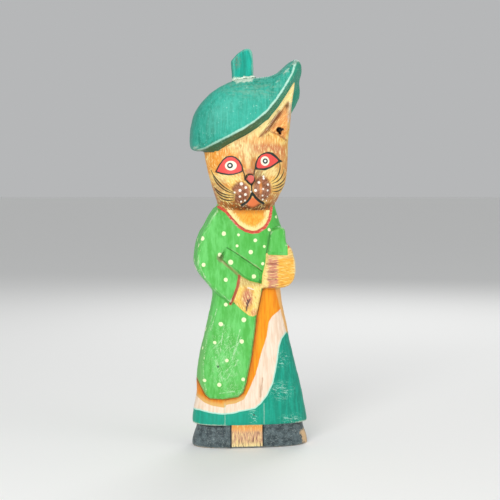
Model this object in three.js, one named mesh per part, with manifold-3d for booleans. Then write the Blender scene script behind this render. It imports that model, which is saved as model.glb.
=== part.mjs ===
// Carved and painted wooden cat in a long shirt, a flared skirt and a flat cap, about 400 mm tall.
// Millimetres, +Z up, the cat faces -Y. The origin is at the middle of the box at the underside.
// Outlines are drawn in the plane of the board it is carved from, as [x, z] on a grid that has
// gridSteps steps over the figure's height. Depths, reliefs and fits are sizes of their own.

import * as THREE from 'three';
import { mergeVertices } from 'three/addons/utils/BufferGeometryUtils.js';
import Module from 'manifold-3d';

const wasm = await Module();
wasm.setup();

// Whole figure
const statueHeight = 400;
const gridSteps = 400;
const unit = statueHeight / gridSteps;

// Board: how far the carving stands in front of and behind the middle plane
const skirtFront = 29;
const skirtBack = 25;
const chestFront = 24;
const chestBack = 21;
const neckFront = 17;
const neckBack = 15;

// Base under the skirt, painted as shoes
const baseHeight = 23;
const baseFront = 29;
const baseBack = 24;
const hemOverhang = 3;

// Carved layers, measured out from what they lie on
const tunicRelief = 2.8;
const hemPanelRelief = 1.6;
const creaseDepth = 4;
const edgeRound = 3.5;
const sleeveFront = 30.5;
const sleeveBack = 12;
const sleeveLean = 0.075;
const leftPawFront = 28.6;
const rightSleeveFront = 28.5;
const rightSleeveBack = 14;
const rightPawFront = 30;
const rightPawBack = 9;
const fingerGrooveWidth = 1.7;
const fingerGrooveDepth = 1.8;

// Head and ear
const foreheadFront = 21.5;
const cheekFront = 27;
const chinFront = 24;
const headBack = 20;
const noseFront = 35.5;
const noseRound = 1.6;
const padHeight = 6;
const bridgeHeight = 4;
const chinHeight = 2.5;
const eyeHollow = 1.4;
const mouthWidth = 1.8;
const mouthDepth = 1.4;
const earHollowDepth = 2.6;
const earHoleDiameter = 5;
const earHoleDepth = 3.5;

// Hat: a thick leaf-shaped cap whose underside slants down towards the back
const hatFront = 36;
const hatBack = 24;
const hatEdgeFront = 12;
const hatEdgeBack = 10;
const undersideRun = 0.255;
const undersideFall = 0.433;

// Stem glued in a socket of the hat, and the filler bead around its foot
const stemThickness = 15;
const stemForward = 2;
const stemRound = 1.2;
const seatSink = 2.5;
const socketDepth = 2.5;
const glueGap = 0.3;
const fillerShare = 0.15;
const fillerStretch = [1.3, 1.1, 1.15];

// How finely round forms are cut into faces
const bodyFacets = { front: 24, back: 12 };
const headFacets = { front: 32, back: 12 };
const bevelSteps = 2;

// Points drawn on the board, in real millimetres
const drawn = (points) => points.map(([x, z]) => [x * unit, z * unit]);

// A solid from a closed geometry
function solidOf(geometry) {
  const bare = geometry.clone();
  bare.deleteAttribute('normal');
  bare.deleteAttribute('uv');
  const merged = mergeVertices(bare, 1e-4);
  return new wasm.Manifold(new wasm.Mesh({
    numProp: 3,
    vertProperties: new Float32Array(merged.attributes.position.array),
    triVerts: new Uint32Array(merged.index.array),
  }));
}

// The geometry of a finished solid
function geometryOf(solid) {
  const mesh = solid.getMesh();
  const geometry = new THREE.BufferGeometry();
  geometry.setAttribute('position', new THREE.BufferAttribute(mesh.vertProperties, 3));
  geometry.setIndex(new THREE.BufferAttribute(mesh.triVerts, 1));
  geometry.computeVertexNormals();
  return geometry;
}

// A closed skin over rings of equal length, each capped to its own middle at the two ends
function loft(rings) {
  const count = rings[0].length;
  const positions = rings.flat().flatMap((point) => point.toArray());
  const index = [];
  for (let level = 0; level + 1 < rings.length; level += 1) {
    for (let i = 0; i < count; i += 1) {
      const next = (i + 1) % count;
      const a = level * count + i;
      const b = level * count + next;
      index.push(a, b, b + count, a, b + count, a + count);
    }
  }
  const cap = (level, outward) => {
    const middle = new THREE.Vector3();
    rings[level].forEach((point) => middle.addScaledVector(point, 1 / count));
    const centre = positions.length / 3;
    positions.push(...middle.toArray());
    for (let i = 0; i < count; i += 1) {
      const a = level * count + i;
      const b = level * count + (i + 1) % count;
      index.push(...(outward ? [a, b, centre] : [b, a, centre]));
    }
  };
  cap(0, false);
  cap(rings.length - 1, true);
  const geometry = new THREE.BufferGeometry();
  geometry.setAttribute('position', new THREE.Float32BufferAttribute(positions, 3));
  geometry.setIndex(index);
  return solidOf(geometry);
}

// A smooth function of height through stations [z, value], without overshoot
function through(stations) {
  const slopes = stations.map((station, i) => {
    const before = stations[Math.max(i - 1, 0)];
    const after = stations[Math.min(i + 1, stations.length - 1)];
    const rising = (after[1] - station[1]) * (station[1] - before[1]) > 0;
    return rising ? (after[1] - before[1]) / (after[0] - before[0]) : 0;
  });
  return (z) => {
    const last = stations.length - 1;
    if (z <= stations[0][0]) return stations[0][1];
    if (z >= stations[last][0]) return stations[last][1];
    const i = stations.findIndex((station) => station[0] > z) - 1;
    const [z0, v0] = stations[i];
    const [z1, v1] = stations[i + 1];
    const span = z1 - z0;
    const t = (z - z0) / span;
    const rise = (3 - 2 * t) * t * t;
    const into = t * (1 - t) * (1 - t) * slopes[i] * span;
    const out = t * t * (t - 1) * slopes[i + 1] * span;
    return v0 + (v1 - v0) * rise + into + out;
  };
}

// One level ring of a rounded board: flat-sided oval with its own front and back depth
function boardRing({ z, left, right, front, back, squareness, facets }) {
  const middle = (left + right) / 2;
  const half = (right - left) / 2;
  const bend = (value) => Math.sign(value) * Math.abs(value) ** (2 / squareness);
  const arc = (count, start, depth) => Array.from({ length: count }, (_, i) => {
    const angle = start + (i / count) * Math.PI;
    return new THREE.Vector3(middle + half * bend(Math.cos(angle)), depth * bend(Math.sin(angle)), z);
  });
  return [...arc(facets.back, 0, back), ...arc(facets.front, Math.PI, front)];
}

// A slab of the board between two depths, cut to an outline, with worn round edges
function slab(outline, front, back, round = 0, lean = new THREE.Matrix4()) {
  const shape = new THREE.Shape(drawn(outline).map(([x, z]) => new THREE.Vector2(x, z)));
  const geometry = new THREE.ExtrudeGeometry(shape, {
    depth: front + back - 2 * round,
    bevelEnabled: round > 0,
    bevelThickness: round,
    bevelSize: round,
    bevelOffset: -round,
    bevelSegments: bevelSteps,
    steps: 1,
  });
  geometry.rotateX(Math.PI / 2);
  geometry.translate(0, back - round, 0);
  geometry.applyMatrix4(lean);
  return solidOf(geometry);
}

// A straight groove between two points of the board, cut from the front down to its floor
function groove(from, to, width, floor) {
  const length = Math.hypot(to[0] - from[0], to[1] - from[1]);
  const half = width / (2 * unit * length);
  const [sx, sz] = [(to[1] - from[1]) * half, (from[0] - to[0]) * half];
  const outline = [
    [from[0] + sx, from[1] + sz], [to[0] + sx, to[1] + sz],
    [to[0] - sx, to[1] - sz], [from[0] - sx, from[1] - sz],
  ];
  return slab(outline, 2 * floor, -floor);
}

// Levels between two heights, evenly spread
function levels(from, to, count) {
  return Array.from({ length: count + 1 }, (_, i) => from + ((to - from) * i) / count);
}

// Body: skirt and trunk as one rounded board, thickened by a relief for what lies on it
const bodyLeft = through([
  [22, -59.6], [33, -58.5], [45, -56.5], [58, -54.2], [67, -55.4], [74, -54.6], [94, -51.4],
  [110, -47.3], [130, -43.2], [143, -39.8], [157, -37.8], [180, -37], [205, -40], [224, -44], [232, -42.6],
  [240, -36.7], [246, -31],
]);
const bodyRight = through([
  [22, 58.7], [42, 55.1], [55, 53], [71, 48.8], [88, 44.6], [104, 40.4], [121, 37.2], [137, 34.1],
  [154, 31], [165, 31], [195, 33.5], [207, 34.5], [219, 32.9], [228, 28.8], [236, 26.7], [246, 23.5],
]);
const bodyFront = through([
  [22, skirtFront], [60, skirtFront - 1], [110, skirtFront - 3], [150, chestFront],
  [205, chestFront], [232, (chestFront + neckFront) / 2], [246, neckFront],
]);
const bodyBack = through([
  [22, skirtBack], [110, skirtBack - 2], [160, chestBack], [210, chestBack],
  [232, (chestBack + neckBack) / 2], [246, neckBack],
]);
const bodySquareness = 2.7;
const bodyLevels = 22;
const bodyTop = 246;

function body(grow = 0) {
  const bottom = baseHeight / unit;
  return loft(levels(bottom, bodyTop, bodyLevels).map((z) => boardRing({
    z: z * unit,
    left: bodyLeft(z) * unit,
    right: bodyRight(z) * unit,
    front: bodyFront(z) + grow,
    back: bodyBack(z) + grow,
    squareness: bodySquareness,
    facets: bodyFacets,
  })));
}

// Base: the block of the shoes, set back under the hem and flaring to the ground
function base() {
  const rows = [
    [0, 0], [0.2 * baseHeight, 0], [0.75 * baseHeight, 0.7 * hemOverhang],
    [baseHeight + hemOverhang, hemOverhang],
  ];
  return loft(rows.map(([z, inset]) => boardRing({
    z,
    left: bodyLeft(0) * unit + inset * 2,
    right: bodyRight(0) * unit - inset * 2,
    front: baseFront - inset,
    back: baseBack - inset,
    squareness: bodySquareness,
    facets: bodyFacets,
  })));
}

// Left panel of the hem, which stands a little proud of the rest of the skirt
const hemPanelOutline = [[-70, 20], [-29, 20], [-29, 44], [-32, 51], [-70, 52]];

// Shirt: open at the neck, falling to a rounded tail on the left
const tunicOutline = [
  [-33, 246], [-33, 241], [-27, 236.8], [-22, 230.3], [-15, 222.3], [-8, 217.8], [-0.9, 216],
  [5, 216.8], [12.2, 221.2], [17.2, 229.2], [19.8, 240.2], [19.8, 246], [50, 246], [50, 217],
  [16, 216.4], [13.2, 193.4], [9.2, 161.4], [7, 153.4], [2.5, 132.4], [1.3, 121.4], [-2.5, 94.3],
  [-8, 66.3], [-11.2, 56.5], [-16.1, 52.3], [-30.3, 50.3], [-43.5, 50.5], [-47.3, 53.5],
  [-52, 63], [-56.4, 73.5], [-70, 80], [-70, 246],
];

// Fold across the chest where the forearm lies in the shirt
const creaseOutline = [
  [-26.2, 200.6], [8, 177.1], [8.4, 164.6], [-3.4, 167], [-11.8, 172], [-30.6, 189.1],
];

// Arms: the left one bent across the body, the right one hanging with its paw in front
const cuffCorner = [-21.9, 144.6];
const leftSleeveOutline = [
  [-35, 241], [-41.4, 231.9], [-45.5, 223.8], [-50.6, 215.8], [-53.7, 207.7], [-56, 197.6],
  [-57, 187.5], [-55.1, 179.4], [-50, 171.2], [-43, 163], [-40, 158.4], cuffCorner,
  [-18.6, 158], [-14.3, 172.2], [-30.8, 189.2], [-35.7, 189], [-26.4, 200.7], [-26.7, 213.6],
  [-29.5, 228],
];
const leftPawOutline = [
  [-24, 148], [-17, 174], [-3.9, 166.9], [7.4, 164.1], [6.5, 153.3], [4.4, 142.5], [2.2, 134.4],
  [-1, 133], [-4.6, 134], [-11.5, 139.4], [-20, 147.6],
];
const rightSleeveOutline = [
  [15.5, 217], [28.6, 221.6], [31.6, 219], [32.9, 207.2], [32.9, 194], [14.9, 194.6],
];
const rightPawOutline = [
  [13.2, 194.4], [12.6, 186], [9.4, 173], [8.6, 160.9], [25.1, 160.4], [31, 160.8], [36.8, 163.2],
  [41, 168.6], [42.6, 177], [42, 187], [38.8, 199], [31.5, 206.8], [28, 195],
];
const rightFingers = [[183.6, 10.5, 21], [175.6, 10, 23], [168.4, 7, 22]];
const leftFingers = [[[-8.5, 150], [-7.2, 138]], [[-3.6, 151], [-3.2, 136.5]], [[1.2, 150.5], [0.2, 138]]];

// Head: rings from the chin up to the tip of the ear, its left side running up inside the hat
const headLeft = through([
  [237, -7], [238.6, -19], [241, -27.5], [244.2, -32.5], [252, -35.4], [262.4, -38.8],
  [283.2, -44.5], [296.3, -46.8], [310, -40], [318, -14], [330, 8], [345, 25], [357, 35], [365, 40.6],
]);
const headRight = through([
  [237, 0], [238.6, 10], [241, 17.5], [244.2, 24.4], [255.1, 30.5], [264.7, 35.4], [284.5, 37.8],
  [310, 38.9], [328.5, 40], [345, 40.6], [357, 41.8], [365, 42.6],
]);
const headFront = through([
  [237, chinFront - 6], [239, chinFront - 2], [244, chinFront], [256, cheekFront],
  [284, cheekFront], [300, foreheadFront + 2], [316, foreheadFront], [365, foreheadFront],
]);
const headDeep = through([
  [237, headBack * 0.5], [244, headBack * 0.8], [262, headBack], [318, headBack],
  [335, headBack * 0.8], [350, headBack * 0.5], [365, headBack / 4],
]);
const headSquareness = through([[237, 2.3], [300, 2.3], [330, 4], [365, 5]]);
const headLevels = [
  237, 238.2, 240, 242, 244.4, 247, 250, 253, 256, 259, 262, 265.5, 269, 273, 277, 281, 286, 291,
  297, 304, 312, 320, 328, 336, 344, 352, 359, 365,
];

// Smooth mounds and hollows of the face: middle, half width, half height and height
const faceMounds = [
  { at: [-12.6, 256.4], reach: [13, 13.5], height: padHeight },
  { at: [7.6, 258.4], reach: [13, 13.5], height: padHeight },
  { at: [-3.2, 243], reach: [15, 8], height: chinHeight },
  { at: [-3.8, 277], reach: [9, 26], height: bridgeHeight },
  { at: [-22.5, 281], reach: [15, 11], height: -eyeHollow },
  { at: [13.5, 285.5], reach: [15, 11], height: -eyeHollow },
];

function faceRelief(x, z) {
  return faceMounds.reduce((sum, { at, reach, height }) => {
    const far = ((x - at[0]) / reach[0]) ** 2 + ((z - at[1]) / reach[1]) ** 2;
    return sum + height * Math.max(0, 1 - far) ** 2;
  }, 0);
}

// How far the face stands in front of the middle plane at a point of the board
function faceDepth(x, z) {
  const middle = (headLeft(z) + headRight(z)) / 2;
  const share = Math.abs(x - middle) / (headRight(z) - middle);
  const power = headSquareness(z);
  return headFront(z) * (1 - share ** power) ** (1 / power) + faceRelief(x, z);
}

const earHollowOutline = [
  [12.5, 313], [19, 324.5], [25.7, 334.5], [32.5, 344.5], [35, 349], [36, 340], [35.8, 322],
  [31, 312], [22, 308.5],
];
const earHoleCentre = [26.9, 318];
const noseOutline = [
  [-8.2, 272], [-6.4, 273.4], [-0.9, 273.4], [0.7, 272], [-0.4, 267.5], [-3.6, 263.8], [-7, 267.2],
];
const mouthPath = [
  [-12.6, 243.2], [-9.2, 245.3], [-6.4, 247.8], [-4.2, 251], [-2.4, 254.6], [-0.9, 251.6], [1, 249],
  [4.6, 246.2], [8.6, 244.4],
];

function head() {
  let solid = loft(headLevels.map((z) => {
    const ring = boardRing({
      z: z * unit,
      left: headLeft(z) * unit,
      right: headRight(z) * unit,
      front: headFront(z),
      back: headDeep(z),
      squareness: headSquareness(z),
      facets: headFacets,
    });
    for (const point of ring) {
      if (point.y < 0) point.y -= faceRelief(point.x / unit, z);
    }
    return ring;
  }));
  solid = solid.add(slab(noseOutline, noseFront, 0, noseRound));
  for (let i = 0; i + 1 < mouthPath.length; i += 1) {
    const [from, to] = [mouthPath[i], mouthPath[i + 1]];
    const lip = Math.min(faceDepth(...from), faceDepth(...to));
    solid = solid.subtract(groove(from, to, mouthWidth, lip - mouthDepth));
  }
  const hollowFloor = foreheadFront - earHollowDepth;
  const [x, z] = earHoleCentre;
  const hole = new THREE.CylinderGeometry(earHoleDiameter / 2, earHoleDiameter / 3, earHoleDepth * 2, 10);
  hole.translate(x * unit, -hollowFloor, z * unit);
  return solid
    .subtract(slab(earHollowOutline, foreheadFront + padHeight, -hollowFloor))
    .subtract(solidOf(hole));
}

// Hat outline, drawn from the left tip over the crown to the right tip and back under the head
const hatOutline = [
  [-57.8, 298], [-60.2, 302], [-60.6, 309], [-59.8, 320], [-57.3, 332], [-53.2, 340.2], [-47.2, 348.1],
  [-39.1, 356.1], [-33.1, 360.2], [-25, 364.3], [-16, 367.6], [-7, 369.2], [3, 370], [11.5, 370.8],
  [19.6, 372.4], [25, 374.8], [30, 377.8], [36, 383], [40, 386.6], [44, 389.2], [47, 389], [50.1, 384.3],
  [51.2, 377.2], [51, 368], [50.4, 360], [48.6, 350.5], [45.6, 340.5], [41.6, 330.4], [36, 321],
  [24, 309], [8, 301], [-10, 297], [-30, 296], [-46, 297.3],
];
const brimLine = [
  [-60.5, 297.4], [-56, 296.9], [-47.8, 299.8], [-37.2, 305.4], [-26.6, 310.8], [-11.5, 318.7],
  [-0.8, 325.5], [11.4, 335.3], [22, 348.2], [32, 363.3], [38.8, 374.6], [41, 381], [47, 391],
];
const hatMiddle = [-6, 332];

// The whole cap before its underside is cut: the outline shrinks towards the front and the back
function hatBlock(grow = 0) {
  const [mx, mz] = hatMiddle;
  const ringAt = (shrink, y) => drawn(hatOutline).map(([x, z]) => {
    const across = x - mx * unit;
    const up = z - mz * unit;
    const reach = Math.hypot(across, up);
    const size = shrink + grow / reach;
    return new THREE.Vector3(mx * unit + across * size, y, mz * unit + up * size);
  });
  const steps = [0, 0.25, 0.5, 0.7, 0.86, 0.96, 1];
  const shrinkOf = (t) => (1 - t ** 2.2) ** 0.42;
  const depthOf = (t, edge, full) => edge + (full - edge) * t + grow;
  const towardsFront = steps.slice(0, -1).map((t) => ringAt(shrinkOf(t), -depthOf(t, hatEdgeFront, hatFront)));
  const towardsBack = steps.slice(0, -1).map((t) => ringAt(shrinkOf(t), depthOf(t, hatEdgeBack, hatBack)));
  return loft([...towardsFront.reverse(), ...towardsBack]);
}

// Everything below the brim line, leaning down and to the right towards the back
function belowBrim() {
  const reach = gridSteps / 2;
  const left = brimLine[0];
  const right = brimLine[brimLine.length - 1];
  const outline = [
    [left[0] - reach, left[1] - reach / 4], ...brimLine, [right[0], right[1] + reach],
    [right[0] + reach, right[1] + reach], [right[0] + reach, left[1] - reach],
    [left[0] - reach, left[1] - reach],
  ];
  const ahead = hatFront;
  const shape = new THREE.Shape(drawn(outline).map(([x, z]) => new THREE.Vector2(x, z)));
  const depth = hatFront + hatBack + 2 * ahead;
  const geometry = new THREE.ExtrudeGeometry(shape, { depth, bevelEnabled: false, steps: 1 });
  geometry.rotateX(Math.PI / 2);
  geometry.translate(0, depth - ahead, 0);
  geometry.applyMatrix4(new THREE.Matrix4().makeShear(0, 0, undersideRun, -undersideFall, 0, 0));
  geometry.translate(0, -hatFront, 0);
  return solidOf(geometry);
}

// Stem, drawn as [x, rise over its seat], and its socket in the crown of the hat
const stemOutline = [
  [-17.6, 0], [-19.2, 21.9], [-13, 29.1], [-7, 33.1], [-1.8, 34.1], [1, 30.6], [2.2, 22.4], [2.4, 0],
];
const stemLeft = stemOutline[0][0];
const stemRight = stemOutline[stemOutline.length - 1][0];
const stemMiddle = (stemLeft + stemRight) / 2;
const crown = hatOutline.findIndex(([x, z]) => z > hatMiddle[1] && x > stemMiddle);
const seatHeight = (hatOutline[crown - 1][1] + hatOutline[crown][1]) / 2 - seatSink / unit;
const stemFront = stemThickness / 2 + stemForward;
const stemBack = stemThickness - stemFront;

function stem(grow = 0) {
  const outline = stemOutline.map(([x, rise]) => {
    const sink = rise > 0 ? 0 : (socketDepth + grow) / unit;
    return [x + (Math.sign(x - stemMiddle) * grow) / unit, seatHeight + rise - sink];
  });
  return slab(outline, stemFront + grow, stemBack + grow, grow > 0 ? 0 : stemRound);
}

// Lumps of filler along the foot of the stem, as [share of its width, size, rise, step forward]
const fillerLumps = [
  [0.02, 0.8, 0.4, 0], [0.2, 0.95, 0.4, 0.5], [0.38, 1, 1, 0.5], [0.56, 1.2, 2.2, 0.5], [0.74, 1.1, 2.6, 0],
  [0.94, 1.15, 2.8, 0], [0.12, 0.9, -2.4, 4], [0.34, 1, -2.2, 4.5], [0.58, 1.05, -1.8, 4.5], [0.8, 0.95, -1.4, 4],
];

function filler() {
  const width = (stemRight - stemLeft) * unit;
  const solid = fillerLumps.map(([share, size, rise, forward]) => {
    const geometry = new THREE.SphereGeometry(fillerShare * width * size, 10, 7);
    geometry.scale(...fillerStretch);
    geometry.translate(stemLeft * unit + width * share, -stemFront - forward * unit, (seatHeight + rise) * unit);
    return solidOf(geometry);
  }).reduce((whole, lump) => whole.add(lump));
  return solid.subtract(stem(glueGap)).subtract(hatBlock(glueGap));
}

// The bent arm is proudest at its cuff and sinks into the shoulder
function leftSleeve() {
  const lean = new THREE.Matrix4().makeShear(0, 0, 0, 0, 0, sleeveLean);
  lean.setPosition(0, -sleeveLean * cuffCorner[1] * unit, 0);
  return slab(leftSleeveOutline, sleeveFront, sleeveBack, edgeRound, lean);
}

// The carved figure as one solid
function figure() {
  const ahead = 2 * (skirtFront + skirtBack);
  const tunic = slab(tunicOutline, ahead, ahead).intersect(body(tunicRelief));
  const hemPanel = slab(hemPanelOutline, ahead, 0).intersect(body(hemPanelRelief));
  let solid = body().add(base()).add(tunic).add(hemPanel);
  solid = solid.subtract(slab(creaseOutline, ahead, creaseDepth - chestFront - tunicRelief));
  solid = solid.add(slab(leftPawOutline, leftPawFront, 0, edgeRound));
  solid = solid.add(leftSleeve());
  solid = solid.add(slab(rightPawOutline, rightPawFront, rightPawBack, edgeRound));
  solid = solid.add(slab(rightSleeveOutline, rightSleeveFront, rightSleeveBack, edgeRound));
  for (const [z, left, right] of rightFingers) {
    const floor = rightPawFront - fingerGrooveDepth;
    solid = solid.subtract(groove([left, z], [right, z], fingerGrooveWidth, floor));
  }
  for (const [from, to] of leftFingers) {
    const floor = leftPawFront - fingerGrooveDepth;
    solid = solid.subtract(groove(from, to, fingerGrooveWidth, floor));
  }
  const hat = hatBlock().subtract(belowBrim());
  return solid.add(head()).add(hat).subtract(stem(glueGap));
}

function paint(name, colour, roughness) {
  return new THREE.MeshStandardMaterial({ name, color: colour, roughness, metalness: 0 });
}

function part(name, solid, material) {
  const mesh = new THREE.Mesh(geometryOf(solid), material);
  mesh.name = name;
  return mesh;
}

const group = new THREE.Group();
group.name = 'wooden_cat_statue';
group.add(part('cat_figure', figure(), paint('painted_wood', 0x62c95e, 0.55)));
group.add(part('hat_stem', stem(), paint('teal_paint', 0x1ab29c, 0.5)));
group.add(part('repair_filler', filler(), paint('white_filler', 0xe0f5dc, 0.85)));

// The origin goes to the middle of the box at the underside
const box = new THREE.Box3().setFromObject(group);
const middle = box.getCenter(new THREE.Vector3());
group.position.set(-middle.x, -middle.y, -box.min.z);

export default group;
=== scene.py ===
import math
from functools import reduce

import bmesh
import bpy
import numpy as np
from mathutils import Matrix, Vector
from mathutils.bvhtree import BVHTree


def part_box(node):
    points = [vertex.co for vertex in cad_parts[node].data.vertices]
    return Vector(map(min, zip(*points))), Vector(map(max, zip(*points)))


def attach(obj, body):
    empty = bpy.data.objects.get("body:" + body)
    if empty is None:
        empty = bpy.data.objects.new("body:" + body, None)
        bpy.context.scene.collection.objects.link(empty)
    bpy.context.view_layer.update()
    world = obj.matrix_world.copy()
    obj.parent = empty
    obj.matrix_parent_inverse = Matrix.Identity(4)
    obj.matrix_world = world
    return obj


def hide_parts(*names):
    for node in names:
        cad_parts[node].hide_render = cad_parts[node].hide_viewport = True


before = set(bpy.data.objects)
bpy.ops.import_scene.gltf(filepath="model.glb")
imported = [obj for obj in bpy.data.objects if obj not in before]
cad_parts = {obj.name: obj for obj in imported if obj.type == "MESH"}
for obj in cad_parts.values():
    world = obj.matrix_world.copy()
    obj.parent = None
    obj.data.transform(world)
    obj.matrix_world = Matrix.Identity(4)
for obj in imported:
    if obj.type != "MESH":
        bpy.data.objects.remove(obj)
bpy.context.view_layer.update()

# Everything is drawn in millimetres on the board that the cat is carved from: x to the right,
# y into the board and z up. The finished object is moved by this much to stand over the origin.
MM = 0.001
SHIFT = np.array([0.95, 4.252, 0.0])

# How fine the carved skin is, in metres
SKIN_STEP = 0.00155
STEM_STEP = 0.0008
FILLER_STEP = 0.0005

# Depth in an outline for corners that it can't hold, in mm
NOWHERE = -50

# The cap's underside slants: for each mm further back it falls and runs to the right
HAT_FRONT = 36.0
UNDERSIDE_RUN = 0.255
UNDERSIDE_FALL = 0.433

# Outlines and lines drawn on the board, as (x, z)
TAIL_EDGE = [
    (13.2, 193.4), (9.2, 161.4), (7, 153.4), (2.5, 132.4), (1.3, 121.4), (-2.5, 94.3), (-8, 66.3),
    (-11.2, 56.5), (-16.1, 52.3), (-30.3, 50.3), (-43.5, 50.5), (-47.3, 53.5), (-52, 63),
    (-56.4, 73.5),
]
SHIRT = [
    (-33, 246), (-33, 241), (-27, 236.8), (-22, 230.3), (-15, 222.3), (-8, 217.8), (-0.9, 216),
    (5, 216.8), (12.2, 221.2), (17.2, 229.2), (19.8, 240.2), (19.8, 246), (50, 246), (50, 217),
    (16, 216.4),
] + TAIL_EDGE + [(-70, 80), (-70, 246)]
NECKLINE = SHIRT[1:11]
LEFT_SLEEVE = [
    (-35, 241), (-41.4, 231.9), (-45.5, 223.8), (-50.6, 215.8), (-53.7, 207.7), (-56, 197.6),
    (-57, 187.5), (-55.1, 179.4), (-50, 171.2), (-43, 163), (-40, 158.4), (-21.9, 144.6),
    (-18.6, 158), (-14.3, 172.2), (-30.8, 189.2), (-35.7, 189), (-26.4, 200.7), (-26.7, 213.6),
    (-29.5, 228),
]
RIGHT_SLEEVE = [
    (15.5, 217), (28.6, 221.6), (31.6, 219), (32.9, 207.2), (32.9, 194), (14.9, 194.6),
]
LEFT_PAW = [
    (-24, 148), (-17, 174), (-3.9, 166.9), (7.4, 164.1), (6.5, 153.3), (4.4, 142.5), (2.2, 134.4),
    (-1, 133), (-4.6, 134), (-11.5, 139.4), (-20, 147.6),
]
RIGHT_PAW = [
    (13.2, 194.4), (12.6, 186), (9.4, 173), (8.6, 160.9), (25.1, 160.4), (31, 160.8), (36.8, 163.2),
    (41, 168.6), (42.6, 177), (42, 187), (38.8, 199), (33.2, 206.8), (32.9, 194.4),
]
CHIN = [
    (-80, 400), (-80, 246.4), (-33.4, 246.4), (-32.9, 243.8), (-27.9, 240.6), (-19, 238.2), (-7, 236.6),
    (0, 236.6), (10, 238.2), (17.9, 240.6), (24.8, 243.8), (25.4, 246.4), (80, 246.4), (80, 400),
]
CREASE = [(-26.2, 200.6), (8, 177.1), (8.4, 164.6)]
ELBOW = [(-26.4, 200.7), (-35.7, 189), (-30.8, 189.2), (-14.3, 172.2)]
SHOULDER = [(-26.4, 202), (-26.7, 213.6), (-29.5, 228), (-34, 241)]
CUFF = [(-14.6, 172.4), (-16.4, 162.6), (-19.6, 153.5), (-23.2, 145.0)]
TAIL_BEVEL = [(-40.6, 131.8), (-45.7, 108.7), (-50.2, 80.8), (-46.6, 51.3)]
ORANGE_EDGE = [
    (60, 160), (28, 137.5), (19.4, 131.6), (15.8, 126.4), (13.5, 112.4), (6.7, 92), (2.1, 74.7),
    (-4.5, 59.7), (-9.8, 49.5), (-17.5, 45.7), (-28.4, 43.9), (-28.8, 41.4), (-42.2, 43.3),
    (-49.3, 45.8), (-54.7, 49.9), (-70, 60),
]
CREAM_EDGE = [
    (70, 140), (35.3, 115.5), (28.5, 109.3), (25.4, 99.9), (22.2, 80.8), (18.7, 65.6), (12.9, 53.4),
    (6.4, 45.3), (0.9, 40.9), (-6, 39.6), (-13.8, 38.3), (-22.1, 36.1), (-29.7, 35.6),
    (-41.3, 36.6), (-53.5, 38.5), (-57.5, 37.9), (-72, 38),
]
HEM_RIDGES = [[(-29.1, 22), (-29.1, 46)], [(10.2, 22), (10.2, 46)]]
BRIM = [
    (-160, 293), (-60.5, 297.4), (-56, 296.9), (-47.8, 299.8), (-37.2, 305.4), (-26.6, 310.8),
    (-11.5, 318.7), (-0.8, 325.5), (11.4, 335.3), (22, 348.2), (32, 363.3), (38.8, 374.6),
    (41, 381), (47, 391), (110, 520),
]
EAR_HOLLOW = [
    (11, 314.5), (17, 315.4), (24.6, 312.8), (35, 307), (36.2, 325), (37, 345), (37.6, 351), (33, 344),
    (27.1, 335.4), (20.1, 327), (15.1, 320.4),
]
LEFT_LID = [
    (-37.2, 276), (-34, 283), (-30.1, 288.6), (-26.6, 291.3), (-21.9, 292), (-17.8, 290.7),
    (-13.7, 287.1), (-11.4, 282.3), (-10.7, 276.9), (-14.3, 275), (-19.6, 273.4), (-24.8, 272.9),
    (-31.7, 274.1),
]
LEFT_LENS = [
    (-35.9, 276.7), (-32.9, 283), (-29.5, 287.7), (-26, 290.4), (-21.9, 291), (-18.4, 289.8),
    (-14.8, 286.5), (-12.2, 281.7), (-11.8, 277.5), (-14.9, 275.7), (-19.6, 274.5), (-24.8, 274.1),
    (-31.1, 275.2),
]
RIGHT_LID = [
    (0.8, 278.7), (1.5, 284.7), (4.6, 290.8), (8, 293.6), (11, 295), (15.4, 296), (19.9, 295.1),
    (24.3, 291.6), (26.9, 288.6), (30.4, 286.9), (25.5, 285.2), (18.3, 280.6), (11.9, 277.9),
    (6.9, 278.3),
]
RIGHT_LENS = [
    (2.6, 281.1), (3, 284.7), (4.6, 289), (7.8, 292.6), (12.9, 294.5), (17.3, 293.9), (21, 291.5),
    (24.2, 289.1), (25.7, 287.3), (21.6, 284.3), (16.4, 281.2), (10.1, 279.7), (4.4, 279.6),
]
NOSE = [
    (-8, 269.1), (-7.1, 272.1), (-5.4, 273), (-3.4, 273), (-1.1, 271.7), (-0.8, 267.9),
    (-2.7, 263.7), (-5.9, 266.1),
]
# Lines of painted shade down the sides of the nose bridge
NOSE_BRIDGE_SHADES = [[(-11.4, 278.7), (-9.7, 273.9), (-9, 268)], [(0.8, 278.7), (-0.2, 273.9), (0.5, 267)]]
PHILTRUM = [(-2.6, 264), (-2.3, 257.1), (-1.9, 254.9)]
MOUTH_LEFT = [(-2, 255.3), (-3.5, 250.5), (-6.8, 246.3), (-11.4, 243.4)]
MOUTH_RIGHT = [(-1.6, 255), (1.9, 250.5), (5.9, 247.2), (10.6, 244.9)]
RIGHT_FINGERS = [[(13.6, 184.6), (22.4, 184.8)], [(12.8, 176.9), (22.8, 177)], [(13.4, 169.4), (22, 169.6)]]
LEFT_FINGERS = [[(-8, 151), (-7, 137.5)], [(-3.6, 151.5), (-3, 136.5)], [(1, 151), (0.4, 138)]]
# Knife grooves, as (lines, half width, depth)
GROOVES = [
    ([CREASE[:2]], 1.3, 1.1), ([ELBOW[2:]], 1.4, 0.5), ([CUFF], 1.2, 0.5), (RIGHT_FINGERS, 2, 0.5),
    (LEFT_FINGERS, 1.6, 0.35), ([MOUTH_LEFT, MOUTH_RIGHT, PHILTRUM], 1.7, 0.7),
]

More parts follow.
